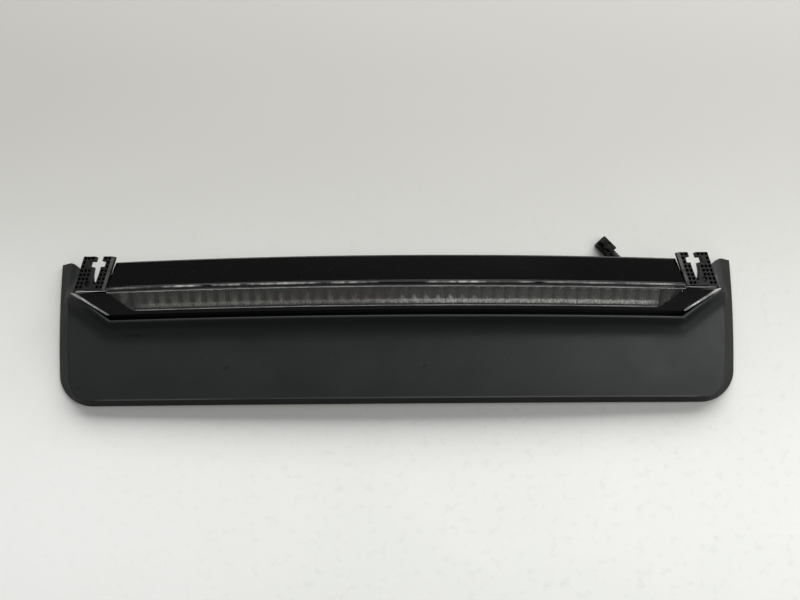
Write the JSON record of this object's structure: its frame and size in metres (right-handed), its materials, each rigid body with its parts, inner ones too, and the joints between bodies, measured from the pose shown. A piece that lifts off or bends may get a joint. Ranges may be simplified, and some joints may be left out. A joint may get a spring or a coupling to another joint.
{
  "type": "third brake light",
  "caption": "Wide shallow third brake light: matte trim cover, clear lens in a gloss black pointed bezel, ribbed end brackets and a short plug lead.",
  "frame": {"origin": "on the bench that the lamp lies on, under the middle of its width and depth, measured without the lead and plug", "axes": "+X across the car towards the end with the plug, +Y from the trim cover's lower edge to the lamp's upper edge, +Z out of the lens side"},
  "size_m": [0.462, 0.1137, 0.0317],
  "materials": {
    "cover_plastic": "fine-textured charcoal moulding",
    "housing_plastic": "plain black moulding",
    "bracket_plastic": "black moulding with blind square pockets",
    "gloss_black": "polished piano black",
    "clear_lens": "clear polycarbonate",
    "optic_clear": "fluted polycarbonate over a silvery tray",
    "metallised": "metallised moulding",
    "board": "green glass-fibre board",
    "led_body": "cream lamp body",
    "component_black": "moulded electronic part",
    "steel": "zinc-plated steel",
    "black_steel": "blackened steel",
    "terminal_brass": "stamped brass",
    "rubber": "black rubber",
    "cable": "cloth-taped black lead",
    "wire": "insulated core"
  },
  "bodies": {
    "lamp": {"trim_cover": "cover_plastic", "lamp_housing": "housing_plastic", "bezel": "gloss_black", "upper_mask": "gloss_black", "outer_lens": "clear_lens", "fluted_optic": "optic_clear", "reflector": "metallised", "led_board": "board", "led_01": "led_body", "led_02": "led_body", "led_03": "led_body", "led_04": "led_body", "led_05": "led_body", "led_06": "led_body", "led_07": "led_body", "led_08": "led_body", "led_09": "led_body", "led_10": "led_body", "led_11": "led_body", "board_header": "led_body", "driver_chip": "component_black", "resistor_1": "component_black", "resistor_2": "component_black", "surge_diode": "component_black", "board_screw_1": "steel", "board_screw_2": "steel", "board_screw_3": "steel", "board_screw_4": "steel", "cover_screw_1": "steel", "cover_screw_2": "steel", "cover_screw_3": "steel", "cover_screw_4": "steel", "spring_clip_1": "steel", "spring_clip_2": "steel", "bracket_left": "bracket_plastic", "bracket_screw_left": "black_steel", "bracket_right": "bracket_plastic", "bracket_screw_right": "black_steel", "cable_grommet": "rubber", "core_wire_1": "wire", "core_wire_2": "wire", "pigtail_cable": "cable", "plug_body": "housing_plastic", "plug_boot": "rubber", "plug_terminal_1": "terminal_brass", "plug_terminal_2": "terminal_brass"},
    "latch": {"plug_latch": "housing_plastic"}
  },
  "joints": [
    {"name": "latch_press", "type": "hinge", "parent": "lamp", "child": "latch", "pos_m": [0.14495, 0.05772, 0.00775], "axis": [0.7266, 0.6871, 0], "range_deg": [0, 9], "stiffness_Nm_per_rad": 0.01, "springref_deg": -1.15}
  ]
}
